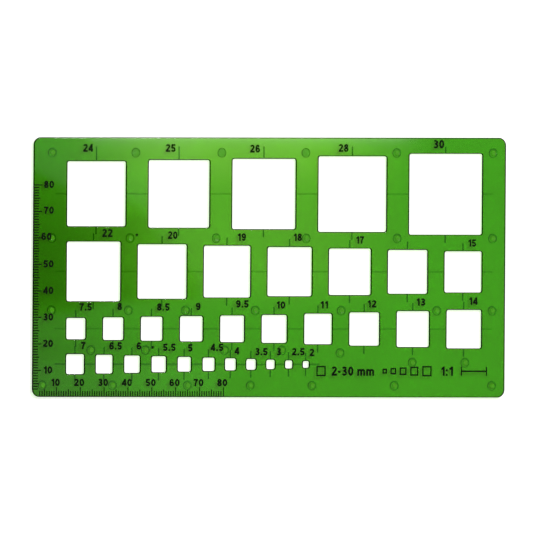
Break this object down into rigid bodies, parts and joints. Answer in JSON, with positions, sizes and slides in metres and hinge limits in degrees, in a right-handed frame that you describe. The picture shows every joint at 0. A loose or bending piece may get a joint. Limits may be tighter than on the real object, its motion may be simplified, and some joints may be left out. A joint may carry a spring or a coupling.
{
  "type": "square template",
  "caption": "Flat transparent drafting stencil with rows of square openings in graded sizes, low pips under it and millimetre scales on two edges.",
  "frame": {"origin": "under the middle of the sheet's plan, on the surface that the pips stand on", "axes": "+X along the long edge towards the end of the rows without numerals beside it, +Y up the sheet from the bottom scale's edge towards the row of largest openings, +Z out of the printed face"},
  "size_m": [0.198, 0.098, 0.0014],
  "materials": {
    "green_plastic": "gloss",
    "black_ink": "satin"
  },
  "bodies": {
    "root": {"template_sheet": "green_plastic"}
  },
  "joints": []
}
